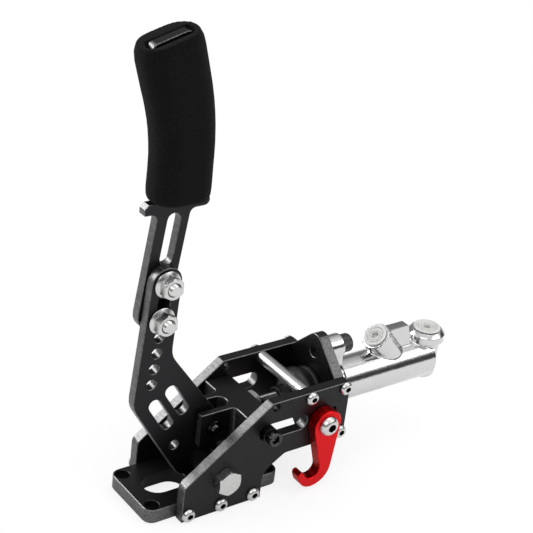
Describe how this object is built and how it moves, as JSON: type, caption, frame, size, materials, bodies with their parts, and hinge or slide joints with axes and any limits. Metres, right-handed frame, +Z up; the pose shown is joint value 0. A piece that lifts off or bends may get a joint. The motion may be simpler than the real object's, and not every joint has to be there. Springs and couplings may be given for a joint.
{
  "type": "parking brake lever",
  "caption": "Upright hydraulic parking brake lever: foam grip, drilled lever between side plates, crosshead, master cylinder and swinging lock hook.",
  "frame": {"origin": "middle of the base plate's underside, straight under the main pivot", "axes": "+X from the lever to the master cylinder, +Y to the side without the lock hook, +Z up the lever"},
  "size_m": [0.2662, 0.088, 0.3182],
  "materials": {
    "black_anodised": "satin black anodised, machined edges",
    "bright_steel": "bright zinc plated",
    "black_steel": "black oxide",
    "polished_aluminium": "cast and polished",
    "red_anodised": "red anodised, satin",
    "black_rubber": "matt moulded rubber",
    "black_foam": "closed-cell foam skin",
    "bronze": "sintered bronze",
    "white_plastic": "milky moulded plastic"
  },
  "bodies": {
    "frame": {"base_plate": "black_anodised", "side_plate_near": "black_anodised", "side_plate_far": "black_anodised", "cylinder_bracket": "black_anodised", "crossbar": "bright_steel", "main_pivot_bolt": "bright_steel", "main_pivot_nut": "bright_steel", "pivot_spacer_near": "black_anodised", "pivot_spacer_far": "black_anodised", "master_cylinder": "polished_aluminium", "inlet_plug": "white_plastic", "outlet_plug": "white_plastic", "cylinder_screw_lower": "black_steel", "cylinder_screw_upper": "black_steel", "retaining_ring": "black_steel", "rubber_boot": "black_rubber", "return_spring": "bright_steel", "lock_hook_screw": "bright_steel", "base_screw_near_1": "bright_steel", "base_screw_near_2": "bright_steel", "base_screw_near_3": "bright_steel", "bracket_screw_near_1": "bright_steel", "bracket_screw_near_2": "bright_steel", "crossbar_screw_near_1": "bright_steel", "base_screw_far_1": "bright_steel", "base_screw_far_2": "bright_steel", "base_screw_far_3": "bright_steel", "bracket_screw_far_1": "bright_steel", "bracket_screw_far_2": "bright_steel", "crossbar_screw_far_1": "bright_steel"},
    "lever": {"pivot_bush": "bronze", "lever_plate": "black_anodised", "handle_plate": "black_anodised", "handle_bolt_upper": "bright_steel", "handle_bolt_lower": "bright_steel", "flange_nut_upper": "bright_steel", "flange_nut_lower": "bright_steel", "foam_grip": "black_foam"},
    "crosshead": {"yoke": "black_anodised", "guide_bush_near": "black_steel", "guide_bush_far": "black_steel", "guide_screw_near": "black_steel", "guide_screw_far": "black_steel", "clevis_bolt": "black_steel", "clevis_nut": "black_steel", "clevis_spacer_near": "bright_steel", "clevis_spacer_far": "bright_steel", "pushrod": "bright_steel", "pushrod_lock_nut": "bright_steel", "piston": "polished_aluminium", "piston_seal": "black_rubber"},
    "lock_hook": {"lock_hook": "red_anodised"}
  },
  "joints": [
    {"name": "lever_swing", "type": "hinge", "parent": "frame", "child": "lever", "pos_m": [0, 0, 0.0246], "axis": [0, 1, 0], "range_deg": [0, 22], "stiffness_Nm_per_rad": 1.2, "springref_deg": -16.04},
    {"name": "crosshead_slide", "type": "slide", "parent": "frame", "child": "crosshead", "axis": [1, 0, 0], "range_m": [0, 0.0109], "deforming": ["return_spring", "rubber_boot"]},
    {"name": "lock_hook_swing", "type": "hinge", "parent": "frame", "child": "lock_hook", "pos_m": [0.0738, 0, 0.0486], "axis": [0, 1, 0], "range_deg": [0, 50]}
  ],
  "couplings": [
    {"joint": "crosshead_slide", "follows": "lever_swing", "m_per_rad": 0.02825}
  ]
}
